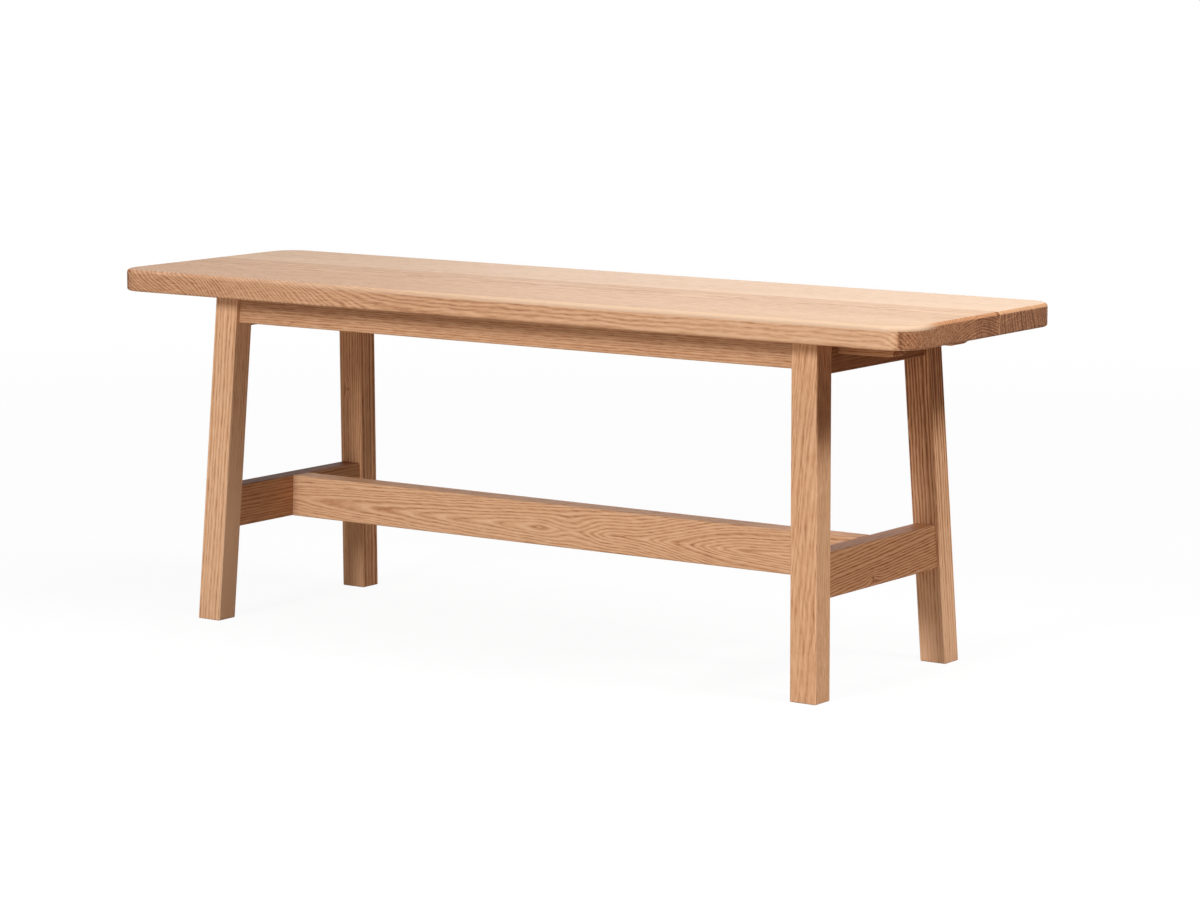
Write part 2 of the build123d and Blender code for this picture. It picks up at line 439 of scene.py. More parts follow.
@dataclass(frozen=True)
class OakGrain:
    """Sizes and strengths of what shows in planed white oak.

    A pair of limits is where a mark starts and where it is full. Those of early and late wood
    are shares of a year's growth, and those of faces say how far a surface turns.
    """

    sway: Cells = Cells((2.4, 16.0, 16.0))
    sway_apart: float = 31.0
    ripple: Cells = Cells((24.0, 75.0, 75.0), shift=3.0)
    fibres: Cells = Cells((44.0, 430.0, 430.0), 3.0, 0.65)
    pores: Cells = Cells((60.0, 800.0, 800.0), shift=5.0)
    clouds: Cells = Cells((1.6, 22.0, 22.0), 3.0, shift=9.0)
    rays: Cells = Cells((70.0, 45.0, 95.0), 1.0)

    early: tuple[Pair, Pair] = ((0.45, 0.12), (0.0, 0.10))
    late: tuple[Pair, Pair] = ((0.40, 0.58), (0.95, 0.72))
    year_pace: float = 0.31
    year_swing: float = 1.6
    open_pores: Pair = (0.51, 0.62)
    shown_rays: Pair = (0.56, 0.72)

    level_faces: Pair = (0.95, 0.99)
    upward_faces: Pair = (0.18, 0.33)
    end_faces: Pair = (0.50, 0.58)
    end_starts: tuple[Pair, Pair] = ((0.42, 0.52), (0.70, 0.56))
    brow_faces: Pair = (0.15, 0.35)

    lightness: float = 0.58
    early_dark: float = 0.07
    early_luck: float = 0.15
    late_bright: float = 0.20
    late_pores: float = 0.25
    level_calm: float = 0.35
    fibre_share: float = 0.80
    cloud_share: float = 0.25
    pore_dark: float = 0.13
    ray_bright: float = 0.07
    end_dark: float = 0.08
    end_rings: float = 1.4
    end_fibres: float = 1.1
    end_pores: float = 3.0
    end_rays: float = 0.35
    start_dark: float = 0.22


@dataclass(frozen=True)
class OakMarks:
    """Where the marks of an edge lie, as distances in metres, and how strong they are."""

    glue_line: Pair = (2.4 * MILLIMETRE, 0.8 * MILLIMETRE)
    glue_pale: float = 0.5
    nick_reach: Pair = (0.009, 0.004)
    nick_long: float = 0.012
    nick_dark: float = 0.6
    heart_edge: float = 0.003
    heart_dark: float = 0.16
    # Where the painted highlight on the slab's front crest lies.
    crest_below: Pair = (0.0072, 0.0052)
    crest_ahead: Pair = (0.03, -0.01)
    arris: Pair = (0.0035, 0.0008)


@dataclass(frozen=True)
class OakFinish:
    """Clear matt oil on planed white oak."""

    pore: Triple = (0.48, 0.305, 0.195)
    early: Triple = (0.655, 0.460, 0.325)
    late: Triple = (0.775, 0.595, 0.452)
    pale: Triple = (0.855, 0.695, 0.560)
    places: Quad = (0.0, 0.32, 0.6, 1.0)
    end_tint: Triple = (0.735, 0.64, 0.545)
    end_share: float = 0.85
    round_tint: Triple = (0.92, 0.835, 0.735)
    round_share: float = 0.9
    # The colour of the painted highlight on the slab's front crest.
    crest_highlight_colour: Triple = (0.835, 0.715, 0.605)
    # Painted sheen and light on level tops: a tint that multiplies the colour of upward faces.
    painted_top_sheen: Triple = (1.10, 1.10, 1.08)
    wear_level: float = 0.9
    wear_share: float = 0.10
    gloss_roughness: float = 0.46
    pore_rough: float = 0.2
    fibre_rough: float = 0.16
    end_rough: float = 0.25
    fibre_relief: float = 0.5
    pore_relief: float = 0.8
    early_relief: float = 0.25
    relief_shown: float = 0.35
    relief_deep: float = 0.3 * MILLIMETRE
    sheen_level: float = 0.06
    refraction: float = 1.45

    def stops(self) -> list[tuple[float, tuple]]:
        """The colours from an open pore to the palest late wood."""
        colours = (self.pore, self.early, self.late, self.pale)
        return [(place, linear(each)) for place, each in zip(self.places, colours)]


@dataclass(frozen=True)
class BoardAxes:
    """A board's own axes, worked out from its solid.

    A leaning board's section stays level and shifts with height, by the slopes.
    """

    along: Along
    centre: Vector
    slopes: Pair
    half: Vector

    @classmethod
    def of(cls, node: str, along: Along) -> "BoardAxes":
        """Reads a node's solid.

        Args:
            node: The solid's name.
            along: The axis that its grain runs along.

        Returns:
            Its axes.
        """
        low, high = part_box(node)
        rise = high.z - low.z
        corners = [vertex.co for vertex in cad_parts[node].data.vertices]
        layers = 100
        near = rise / layers
        floor = [corner for corner in corners if corner.z < low.z + near]
        roof = [corner for corner in corners if corner.z > high.z - near]
        centre, half, slopes = [], [], []
        for axis in (0, 1):
            ends = [(min(c[axis] for c in row), max(c[axis] for c in row)) for row in (floor, roof)]
            middles = [sum(end) / 2 for end in ends]
            centre.append(sum(middles) / 2)
            half.append(max(end[1] - end[0] for end in ends) / 2)
            slopes.append((middles[1] - middles[0]) / rise)
        if along is not Along.Z:
            axis = along.value
            slopes[axis] = 0.0
            centre[axis] = (low[axis] + high[axis]) / 2
            half[axis] = (high[axis] - low[axis]) / 2
        centre, half = Vector((*centre, (low.z + high.z) / 2)), Vector((*half, rise / 2))
        return cls(along, centre, (slopes[0], slopes[1]), half)

    def place(self, tree: SurfaceTree) -> list[Value]:
        """Adds the nodes that turn a place on the bench into the board's own axes.

        Args:
            tree: The board's material.

        Returns:
            The distance along the grain, and the two across it.
        """
        x, y, z = tree.split(tree.place())
        height = z - self.centre.z
        x = x - height * self.slopes[0] - self.centre.x
        y = y - height * self.slopes[1] - self.centre.y
        return self.ordered([x, y, height])

    def halves(self) -> list[float]:
        """Half sizes in the same order as place gives its values."""
        return self.ordered(list(self.half))

    def ordered(self, values: list) -> list:
        """Puts what belongs to x, y and z in the order of the board's own axes."""
        first = self.along.value
        return [values[first]] + [each for axis, each in enumerate(values) if axis != first]


class OakMaterial(SurfaceTree):
    """The oak of one board."""

    def __init__(self, name: str, board: "Board") -> None:
        """Starts the material, and finds where on its board a point lies.

        Args:
            name: The material's name.
            board: The board that it dresses.
        """
        super().__init__(name)
        self.oil, self.grain, self.marks = board.finish, board.grain, board.marks
        self.growth = board.growth
        axes = BoardAxes.of(board.node, board.along)
        self.half = axes.halves()
        self.at = axes.place(self)
        self.cell = self.vector(*self.at)
        self.looks = self.facing()
        self.ahead = abs(self.looks[board.along.value])

    def build(self) -> bpy.types.Material:
        """Makes the material.

        Returns:
            The material.
        """
        oil, grain, growth, along = self.oil, self.grain, self.growth, self.at[0]
        from_p, from_q = self.from_pith()
        radius = self.radius(from_p, from_q)
        year, share = self.years(radius)
        inputs = {"W": year + growth.seed}
        luck = self.node("ShaderNodeTexWhiteNoise", {"noise_dimensions": "1D"}, inputs)
        early, bright = self.band(share, *grain.early), self.band(share, *grain.late)

        fibres, clouds = self.uneven(grain.fibres), self.uneven(grain.clouds)
        pore = self.noise(self.cell, grain.pores, growth.seed)
        pore = self.smooth(pore, *grain.open_pores) * (grain.late_pores + early)
        rays = self.vector(along, radius, self.maths("ARCTAN2", from_q, from_p))
        ray = self.smooth(self.noise(rays, grain.rays, growth.seed), *grain.shown_rays)

        flat = self.smooth(self.looks[2], *grain.level_faces)
        above = self.smooth(self.looks[2], *grain.upward_faces)
        end = self.smooth(self.ahead, *grain.end_faces) * (1 - above)
        start = self.band(self.ahead, *grain.end_starts) * (1 - above)
        brow = self.smooth(self.ahead, *grain.brow_faces) * above

        dark = early * (grain.early_dark + grain.early_luck * Value(self, luck.outputs[0]))
        calm = 1 - flat * grain.level_calm
        light = (
            grain.lightness
            # painted light and shade: the steady change along the board
            + (growth.tone + along * growth.fade) * (1 - end)
            - dark * (growth.figure * calm + end * grain.end_rings * growth.end_figure)
            + bright * calm * (grain.late_bright * growth.figure)
            + fibres * (grain.fibre_share + end * grain.end_fibres)
            + clouds * grain.cloud_share
            - pore * (1 + end * grain.end_pores) * grain.pore_dark
            + ray * (grain.ray_bright + end * grain.end_rays)
            - end * grain.end_dark
            + self.end_marks(end)
            - start * grain.start_dark
        )
        # Painted shade and painted light on the faces that look one way.
        for wood in growth.painted_shading:
            light = light - self.painted_shading(wood)
        for knot in growth.knots:
            if knot.heart:
                light = light - self.near(knot, *knot.heart_reach) * knot.heart

        ramp = self.node("ShaderNodeValToRGB", {"stops": oil.stops()}, {"Fac": light})
        colour = ramp.outputs[0]
        tints = [
            (end * oil.end_share, linear(oil.end_tint)),
            (brow * oil.round_share, linear(oil.round_tint)),
            # painted sheen on level tops
            (flat, (*oil.painted_top_sheen, 1.0)),
        ]
        # The board's stain, which on some boards is painted shade or painted light.
        if growth.stain_and_painted_shading != Growth.stain_and_painted_shading:
            tints.append((1.0, (*growth.stain_and_painted_shading, 1.0)))
        for depth, tint in tints:
            colour = self.blend(depth, colour, tint, "MULTIPLY")
        wear = self.arrises() * (oil.wear_level + clouds)
        colour = self.blend(wear * oil.wear_share, colour, linear(oil.pale))
        # Painted highlight along the top round of the slab's front edge.
        if growth.painted_crest_highlight:
            colour = self.blend(self.painted_crest_highlight() * (1 - flat), colour, linear(oil.crest_highlight_colour))

        height = fibres * oil.fibre_relief - pore * oil.pore_relief - early * oil.early_relief
        rough = oil.gloss_roughness + pore * oil.pore_rough + fibres * oil.fibre_rough
        return self.finish(
            {
                "Base Color": colour,
                "Roughness": rough + (end + brow) * oil.end_rough,
                "Normal": self.dent(height, oil.relief_shown, oil.relief_deep),
                "IOR": oil.refraction,
                "Specular IOR Level": oil.sheen_level,
            }
        )

    def uneven(self, cells: Cells, apart: float = 0.0) -> Value:
        """Noise on the board's own axes, less its average, so far apart from its seed."""
        return self.noise(self.cell, cells, self.growth.seed + apart) - NOISE_MEAN

    def from_pith(self) -> tuple[Value, Value]:
        """Steps from the pith, which sways along the log.

        Returns:
            The two steps across the grain.
        """
        steps = []
        for axis in (0, 1):
            sway = self.uneven(self.grain.sway, axis * self.grain.sway_apart)
            pith = self.growth.pith[axis] + self.at[0] * self.growth.drift[axis]
            steps.append(self.at[axis + 1] + sway * self.growth.sway - pith)
        return steps[0], steps[1]

    def radius(self, from_p: Value, from_q: Value) -> Value:
        """How far out in the log a point grew, with the bends of knots and run-out.

        Args:
            from_p: Its first step from the pith.
            from_q: Its second step from the pith.

        Returns:
            The radius.
        """
        growth, along = self.growth, self.at[0]
        radius = self.maths("SQRT", from_p * from_p + from_q * from_q)
        radius = radius + self.uneven(self.grain.ripple) * growth.ripple
        if growth.taper:
            radius = radius + along * growth.taper
        start, slope, reach = growth.run_out
        if slope:
            past = start - along
            radius = radius - past * self.smooth(past, 0.0, reach) * slope
        low, high, rise = growth.step
        if rise:
            radius = radius + self.smooth(along, low, high) * rise
        for knot in growth.knots:
            radius = radius + self.near(knot, *knot.bend_reach) * (knot.radius * knot.push)
        return radius

    def near(self, knot: Knot, drawn: float, reach: float) -> Value:
        """Rises from 0 to 1 towards the middle of a knot.

        Args:
            knot: The knot.
            drawn: How many times longer than wide its reach is.
            reach: Where the result is 0, in the knot's radii.

        Returns:
            The result, from 0 to 1.
        """
        s, p, q = self.at
        s, p, q = (s - knot.along) / drawn, p - knot.first, q - knot.second
        away = self.maths("SQRT", s * s + p * p + q * q)
        return self.smooth(away, knot.radius * reach, 0.0)

    def years(self, radius: Value) -> tuple[Value, Value]:
        """Counts the rings, some wide and some narrow.

        Args:
            radius: Distance from the pith.

        Returns:
            The ring's number, and how far through its year it is.
        """
        years = radius / self.growth.ring
        place = years * self.grain.year_pace + self.growth.seed
        inputs = {"W": place, "Scale": 1.0, "Detail": 1.0}
        uneven = self.node("ShaderNodeTexNoise", {"noise_dimensions": "1D"}, inputs)
        years = years + Value(self, uneven.outputs[0]) * self.grain.year_swing
        year = self.maths("FLOOR", years)
        return year, years - year

    def painted_shading(self, wood: PaintedShading) -> Value:
        """How much painted shade darkens one side, or painted light lightens it.

        Args:
            wood: Where it shows.

        Returns:
            What it takes from the wood's lightness.
        """
        axis, sign = wood.looks.value
        turned = self.smooth(self.looks[axis] * sign, *wood.turned)
        return turned * self.smooth(self.at[0], wood.start, wood.full) * wood.depth

    def end_marks(self, end: Value) -> Value | float:
        """Lighter and darker marks of the end grain: glue lines, the nick in them and its heart.

        Args:
            end: 1 on the end grain.

        Returns:
            What the marks add to the wood's lightness.
        """
        (along, across, up), own = self.at, self.marks
        half_long, half_wide, half_high = self.half
        marks: Value | float = 0.0
        for side in self.growth.glued:
            beside, over = abs(across - side * half_wide), up - half_high
            marks = marks + end * self.smooth(beside, *own.glue_line) * own.glue_pale
            nick = self.maths("SQRT", beside * beside + over * over)
            last = self.smooth(abs(along), half_long - own.nick_long, half_long)
            marks = marks - self.smooth(nick, *own.nick_reach) * last * (own.nick_dark * side)
        if self.growth.dark_end:
            low, high = self.growth.dark_end
            limits = (low, low + own.heart_edge), (high, high - own.heart_edge)
            marks = marks - end * self.band(across, *limits) * own.heart_dark
        return marks

    def painted_crest_highlight(self) -> Value:
        """Finds the top round of the slab's front edge, where a highlight is painted.

        Returns:
            How much of the painted highlight's colour a point takes.
        """
        along, across, up = self.at
        start, full, share = self.growth.painted_crest_highlight
        near = self.smooth(self.half[2] - up, *self.marks.crest_below)
        near = near * self.smooth(across, *self.marks.crest_ahead)
        return near * self.smooth(along, start, full) * share

    def arrises(self) -> Value:
        """1 on the long arrises, where handling polishes the wood paler, and 0 elsewhere."""
        inside = (self.half[1] - abs(self.at[1])) + (self.half[2] - abs(self.at[2]))
        return self.smooth(inside, *self.marks.arris)


@dataclass
class Board:
    """One board: a merged copy of its solid, eased along its edges and dressed in oak."""

    node: str
    along: Along
    growth: Growth
    slot: Slot = Slot.FRAME
    ease: float = 0.35 * MILLIMETRE
    finish: OakFinish = OakFinish()
    grain: OakGrain = OakGrain()
    marks: OakMarks = OakMarks()

    def build(self) -> None:
        """Makes the board and puts it in its solid's place."""
        name = f"oak_{self.node}"
        piece = add_object(name, self.copy_mesh(name))
        piece.data.materials.append(OakMaterial(name, self).build())
        if self.ease:
            bevel = piece.modifiers.new("eased edges", "BEVEL")
            bevel.limit_method = "WEIGHT"
            bevel.width = self.ease
            bevel.segments = 2
            bevel.use_clamp_overlap = True
        weighted = piece.modifiers.new("flat faces", "WEIGHTED_NORMAL")
        weighted.keep_sharp = True
        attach(piece, BODY)
        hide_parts(self.node)
        log.info("%s: %d faces before easing", name, len(piece.data.polygons))

    def copy_mesh(self, name: str) -> bpy.types.Mesh:
        """Merges the solid's loose triangles into flat faces and marks its outer edges.

        Args:
            name: The new mesh's name.

        Returns:
            The new mesh.
        """
        merge, flat, outer, sharp = 5e-6, math.radians(0.5), math.radians(25), math.radians(40)
        work = bmesh.new()
        work.from_mesh(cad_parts[self.node].data)
        bmesh.ops.remove_doubles(work, verts=work.verts, dist=merge)
        bmesh.ops.dissolve_limit(work, angle_limit=flat, verts=work.verts, edges=work.edges)
        bmesh.ops.recalc_face_normals(work, faces=work.faces)
        weights = work.edges.layers.float.new("bevel_weight_edge")
        for edge in work.edges:
            if len(edge.link_faces) == 2 and edge.calc_face_angle_signed() > outer:
                edge[weights] = 1.0
        mesh = bpy.data.meshes.new(name)
        work.to_mesh(mesh)
        work.free()
        mesh.shade_smooth()
        mesh.set_sharp_from_angle(angle=sharp)
        return mesh


@dataclass(frozen=True)
class ZincPlate:
    """Bright zinc plating on turned steel, a little yellowed."""

    bright: Triple = (0.80, 0.79, 0.76)
    dull: Triple = (0.66, 0.63, 0.56)
    blotches: Cells = Cells((260.0, 260.0, 260.0), shift=2.0)
    scratches: Cells = Cells((2600.0, 2600.0, 500.0), 1.0, shift=7.0)
    dulled: Pair = (0.4, 0.65)
    smoothest: float = 0.28
    dull_rough: float = 0.14
    scratch_rough: float = 0.12
    scratch_shown: float = 0.2
    scratch_deep: float = 0.05 * MILLIMETRE

    def build(self, name: str) -> bpy.types.Material:
        """Makes the material.

        Args:
            name: The material's name.

        Returns:
            The material.
        """
        tree = SurfaceTree(name)
        place = tree.place()
        dull = tree.smooth(tree.noise(place, self.blotches, 0.0), *self.dulled)
        fine = tree.noise(place, self.scratches, 0.0)
        return tree.finish(
            {
                "Base Color": tree.blend(dull, linear(self.bright), linear(self.dull)),
                "Metallic": 1.0,
                "Roughness": self.smoothest + dull * self.dull_rough + fine * self.scratch_rough,
                "Normal": tree.dent(fine, self.scratch_shown, self.scratch_deep),
            }
        )


class ScrewTree(Tree):
    """Geometry nodes for two rows of countersunk wood screws, heads down."""

    KINDS = {int: "Int", float: "Float", tuple: "Vector", type(None): "Material"}
    SIZES = {
        "Row Count": 5, "Pitch": 0.2, "Row Spread": 0.14, "Length": 0.035,
        "Head Radius": 0.004, "Head Depth": 0.0026, "Core Radius": 0.00145,
        "Thread Rise": 0.0016, "Thread Depth": 0.00045, "Plain Length": 0.009,
        "Tip Length": 0.004, "Middle": (0.0, 0.0, 0.0), "Metal": None,
    }
    SIDES = 24
    SEED = 17
    # The head's cross recess: its arms' length and width in head radii, and its depth in heads.
    CROSS = (1.1, 0.24, 1.2)
    # The well in the recess's middle: its two radii and its depth, in the same measures.
    WELL = (0.3, 0.06, 0.85)
    SHANK_START = 0.9
    TIP_END = 0.15
    RIDGE_SIDES = 3

    def __init__(self, name: str) -> None:
        """Builds the tree.

        Args:
            name: Its name.
        """
        group = bpy.data.node_groups.new(name, "GeometryNodeTree")
        super().__init__(group)
        for size, usual in self.SIZES.items():
            kind = f"NodeSocket{self.KINDS[type(usual)]}"
            socket = group.interface.new_socket(size, in_out="INPUT", socket_type=kind)
            if usual is not None:
                socket.default_value = usual
        group.interface.new_socket("Screws", in_out="OUTPUT", socket_type="NodeSocketGeometry")
        self.given = self.node("NodeGroupInput").outputs
        one = self.node("GeometryNodeJoinGeometry", None, {0: [self.head(), *self.shank()]})
        inputs = {"Geometry": self.rows(one.outputs[0]), "Material": self.given["Metal"]}
        dressed = self.node("GeometryNodeSetMaterial", None, inputs)
        self.node("NodeGroupOutput", None, {0: dressed.outputs[0]})

    def size(self, name: str) -> Value:
        """One of the tree's named numbers."""
        return Value(self, self.given[name])

    def cone(
        self, bottom: "Value | float", top: "Value | float", depth: Value, sides: int
    ) -> Socket:
        """Adds a closed cone that stands on the origin, from its radii and its height."""
        inputs = {"Vertices": sides, "Radius Bottom": bottom, "Radius Top": top, "Depth": depth}
        return self.node("GeometryNodeMeshCone", {"fill_type": "NGON"}, inputs).outputs[0]

    def raised(self, mesh: Socket, height: Value) -> Socket:
        """Lifts a mesh by a height."""
        inputs = {"Geometry": mesh, "Translation": self.vector(0.0, 0.0, height)}
        return self.node("GeometryNodeTransform", None, inputs).outputs[0]

    def head(self) -> Socket:
        """The countersunk head with its cross recess.

        Returns:
            Its mesh.
        """
        radius, depth = self.size("Head Radius"), self.size("Head Depth")
        length, width, far = self.CROSS
        arm, slot, deep = radius * length, radius * width, depth * far
        bottom, top, far = self.WELL
        cutters = [self.cone(radius * bottom, radius * top, depth * far, self.SIDES)]
        for size in ((arm, slot, deep), (slot, arm, deep)):
            cube = self.node("GeometryNodeMeshCube", None, {"Size": self.vector(*size)})
            cutters.append(cube.outputs[0])
        cutter = self.node("GeometryNodeJoinGeometry", None, {0: cutters}).outputs[0]
        body = self.cone(radius, self.size("Core Radius"), depth, self.SIDES)
        inputs = {"Mesh 1": body, "Mesh 2": cutter}
        cut = self.node("GeometryNodeMeshBoolean", {"operation": "DIFFERENCE"}, inputs)
        return cut.outputs[0]

    def shank(self) -> list[Socket]:
        """The shank, its thread and its tip.

        Returns:
            Their meshes.
        """
        length, core, tip = self.size("Length"), self.size("Core Radius"), self.size("Tip Length")
        depth = self.size("Head Depth")
        root, start = depth * self.SHANK_START, depth + self.size("Plain Length")
        body = self.cone(core, core, length - tip - root, self.SIDES)
        point = self.cone(core, core * self.TIP_END, tip, self.SIDES)
        run = length - tip - start
        inputs = {"Resolution": self.SIDES, "Rotations": run / self.size("Thread Rise")}
        inputs |= {"Start Radius": core, "End Radius": core, "Height": run}
        spiral = self.node("GeometryNodeCurveSpiral", None, inputs)
        inputs = {"Resolution": self.RIDGE_SIDES, "Radius": self.size("Thread Depth")}
        ridge = self.node("GeometryNodeCurvePrimitiveCircle", {"mode": "RADIUS"}, inputs)
        inputs = {"Curve": spiral.outputs[0], "Profile Curve": ridge.outputs[0], "Fill Caps": True}
        thread = self.node("GeometryNodeCurveToMesh", None, inputs)
        above = self.raised(thread.outputs[0], start)
        return [self.raised(body, root), self.raised(point, length - tip), above]

    def rows(self, screw: Socket) -> Socket:
        """Sets a screw out in two rows, each turned as it stopped when it was driven.

        Args:
            screw: The screw's mesh.

        Returns:
            All the screws, as one mesh.
        """
        count, pitch = self.size("Row Count"), self.size("Pitch")
        inputs = {"Size X": pitch * (count - 1), "Size Y": self.size("Row Spread")}
        inputs |= {"Vertices X": count, "Vertices Y": 2}
        grid = self.node("GeometryNodeMeshGrid", None, inputs)
        inputs = {"Min": 0.0, "Max": math.tau, "Seed": self.SEED}
        turn = self.node("FunctionNodeRandomValue", {"data_type": "FLOAT"}, inputs)
        turned = self.vector(0.0, 0.0, Value(self, turn.outputs[1]))
        inputs = {"Points": grid.outputs[0], "Instance": screw, "Rotation": turned}
        driven = self.node("GeometryNodeInstanceOnPoints", None, inputs)
        inputs = {"Geometry": driven.outputs[0], "Translation": self.given["Middle"]}
        moved = self.node("GeometryNodeTransform", None, inputs)
        made = self.node("GeometryNodeRealizeInstances", None, {"Geometry": moved.outputs[0]})
        return made.outputs[0]


@dataclass
class ScrewRows:
    """Two rows of wood screws that run up into the slab, in place of one node's solids."""

    node: str
    count: int
    head_radius: float = 4.0 * MILLIMETRE
    sharp: float = math.radians(35)

    def build(self) -> None:
        """Makes the screws and puts them in their solids' place."""
        low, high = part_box(self.node)
        name = f"steel_{self.node}"
        group = ScrewTree(name).tree
        seed = add_object(name, bpy.data.meshes.new(name))
        rows = seed.modifiers.new("rows", "NODES")
        rows.node_group = group
        head = 2 * self.head_radius
        given = {
            "Row Count": self.count,
            "Pitch": (high.x - low.x - head) / (self.count - 1),
            "Row Spread": high.y - low.y - head,
            "Length": high.z - low.z,
            "Head Radius": self.head_radius,
            "Middle": ((low.x + high.x) / 2, (low.y + high.y) / 2, low.z),
            "Metal": ZincPlate().build(name),
        }
        for socket in group.interface.items_tree:
            if socket.name in given:
                rows[socket.identifier] = given[socket.name]
        view = bpy.context.evaluated_depsgraph_get()
        mesh = bpy.data.meshes.new_from_object(seed.evaluated_get(view))
        seed.modifiers.remove(rows)
        seed.data = mesh
        mesh.shade_smooth()
        mesh.set_sharp_from_angle(angle=self.sharp)
        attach(seed, BODY)
        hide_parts(self.node)
        log.info("%s: %d faces", name, len(mesh.polygons))


@dataclass(frozen=True)
class Viewpoint:
    """Where the picture was taken from, and through how long a lens."""

    turn: float = 35.352
    rise: float = 8.217
    distance: float = 4.83137
    focal_pixels: float = 3844.569
    image: tuple[int, int] = (1200, 904)
    aim: Triple = (0.0, 0.0, 0.25)
    aim_pixel: Pair = (567.331, 442.849)
    sensor: float = 36.0
    farthest: float = 200.0

    def build(self) -> None:
        """Makes the camera and gives it to the scene."""
        turn, rise = math.radians(self.turn), math.radians(self.rise)
        level = Vector((-math.sin(turn), math.cos(turn), 0.0))
        forward = level * math.cos(rise) - Vector((0.0, 0.0, math.sin(rise)))
        right = Vector((math.cos(turn), math.sin(turn), 0.0))
        up = right.cross(forward)
        aside = (self.aim_pixel[0] - self.image[0] / 2) / self.focal_pixels * self.distance
        above = (self.image[1] / 2 - self.aim_pixel[1]) / self.focal_pixels * self.distance
        place = Vector(self.aim) - right * aside - up * above - forward * self.distance
        lens = bpy.data.cameras.new("camera")
        lens.sensor_width = self.sensor
        lens.sensor_fit = "HORIZONTAL"
        lens.lens = self.focal_pixels / self.image[0] * self.sensor
        lens.clip_end = self.farthest
        camera = add_object("camera", lens)
        turned = Matrix((right, up, -forward)).transposed().to_4x4()
        camera.matrix_world = Matrix.Translation(place) @ turned
        bpy.context.scene.camera = camera


@dataclass(frozen=True)
class Softbox:
    """A soft lamp: its place, its size, its strength and what it points at."""

    name: str
    place: Triple
    size: Pair
    watts: float
    aim: Triple = (0.0, 0.0, 0.3)

    def build(self) -> None:
        """Makes the lamp and turns it to what it points at."""
        lamp = bpy.data.lights.new(self.name, "AREA")
        lamp.shape = "RECTANGLE"
        lamp.size, lamp.size_y = self.size
        lamp.energy = self.watts
        made = add_object(self.name, lamp)
        made.visible_camera = False
        facing = Vector(self.aim) - Vector(self.place)
        turned = facing.to_track_quat("-Z", "Y").to_matrix().to_4x4()
        made.matrix_world = Matrix.Translation(self.place) @ turned


@dataclass
class Studio:
    """Plain pale floor, white surroundings and soft lamps."""

    surroundings: float = 0.015
    fill: Quad = (1.0, 0.93, 0.86, 1.0)
    floor_half: float = 45.0
    floor_seen: Quad = (0.95, 0.95, 0.95, 1.0)
    floor_bounce: Quad = (0.62, 0.55, 0.48, 1.0)
    floor_glow: float = 0.94
    far_floor: Pair = (1.2, 4.0)
    lamps: tuple[Softbox, ...] = (
        Softbox("front lamp", (-0.1, -6.0, 3.36), (1.1, 2.0), 305.0),
        Softbox("low lamp", (-0.3, -6.0, 0.9), (4.4, 0.8), 31.0),
        Softbox("right lamp", (3.4, 0.2, 3.05), (0.9, 0.8), 98.0),
        Softbox("top lamp", (1.3, -0.2, 3.6), (1.8, 1.6), 62.0),
        Softbox("rear lamp", (-1.9, 3.6, 1.1), (1.6, 0.8), 5.0),
        Softbox("back lamp", (-0.9, 3.6, 0.10), (3.0, 0.16), 14.0),
    )

    def build(self) -> None:
        """Makes the surroundings, the floor and the lamps."""
        bpy.context.scene.view_settings.view_transform = "Standard"
        self.build_world()
        self.build_floor()
        for lamp in self.lamps:
            lamp.build()

    def build_world(self) -> None:
        """White where the camera or a reflection looks, and plain fill light elsewhere."""
        world = bpy.data.worlds.new("surroundings")
        bpy.context.scene.world = world
        world.use_nodes = True
        tree = Tree(world.node_tree)
        path = tree.node("ShaderNodeLightPath").outputs
        looks = [Value(tree, path[f"Is {ray} Ray"]) for ray in ("Camera", "Glossy", "Transmission")]
        seen = tree.maths("MAXIMUM", tree.maths("MAXIMUM", looks[0], looks[1]), looks[2])
        inputs = {"Color": self.fill, "Strength": self.surroundings}
        fill = tree.node("ShaderNodeBackground", None, inputs)
        white = tree.node("ShaderNodeBackground", None, {"Color": WHITE, "Strength": 1.0})
        inputs = {0: seen, 1: fill.outputs[0], 2: white.outputs[0]}
        both = tree.node("ShaderNodeMixShader", None, inputs)
        tree.node("ShaderNodeOutputWorld", None, {"Surface": both.outputs[0]})

    def build_floor(self) -> None:
        """A wide pale sheet that keeps the bench's shadow."""
        reach = self.floor_half
        mesh = bpy.data.meshes.new("floor")
        corners = [(x * reach, y * reach, 0.0) for x, y in ((-1, -1), (1, -1), (1, 1), (-1, 1))]
        mesh.from_pydata(corners, [], [(0, 1, 2, 3)])
        floor = add_object("floor", mesh)
        tree = SurfaceTree("floor")
        seen = Value(tree, tree.node("ShaderNodeLightPath").outputs["Is Camera Ray"])
        pale = tree.blend(seen, self.floor_bounce, self.floor_seen)
        matt = tree.node("ShaderNodeBsdfDiffuse", None, {"Color": pale})
        glow = tree.node("ShaderNodeEmission", None, {"Color": WHITE})
        away = tree.node("ShaderNodeVectorMath", {"operation": "LENGTH"}, {0: tree.place()})
        far = tree.smooth(Value(tree, away.outputs["Value"]), *self.far_floor)
        share = seen * (self.floor_glow + far * (1 - self.floor_glow))
        inputs = {0: share, 1: matt.outputs[0], 2: glow.outputs[0]}
        both = tree.node("ShaderNodeMixShader", None, inputs)
        tree.node("ShaderNodeOutputMaterial", None, {"Surface": both.outputs[0]})
        mesh.materials.append(tree.material)


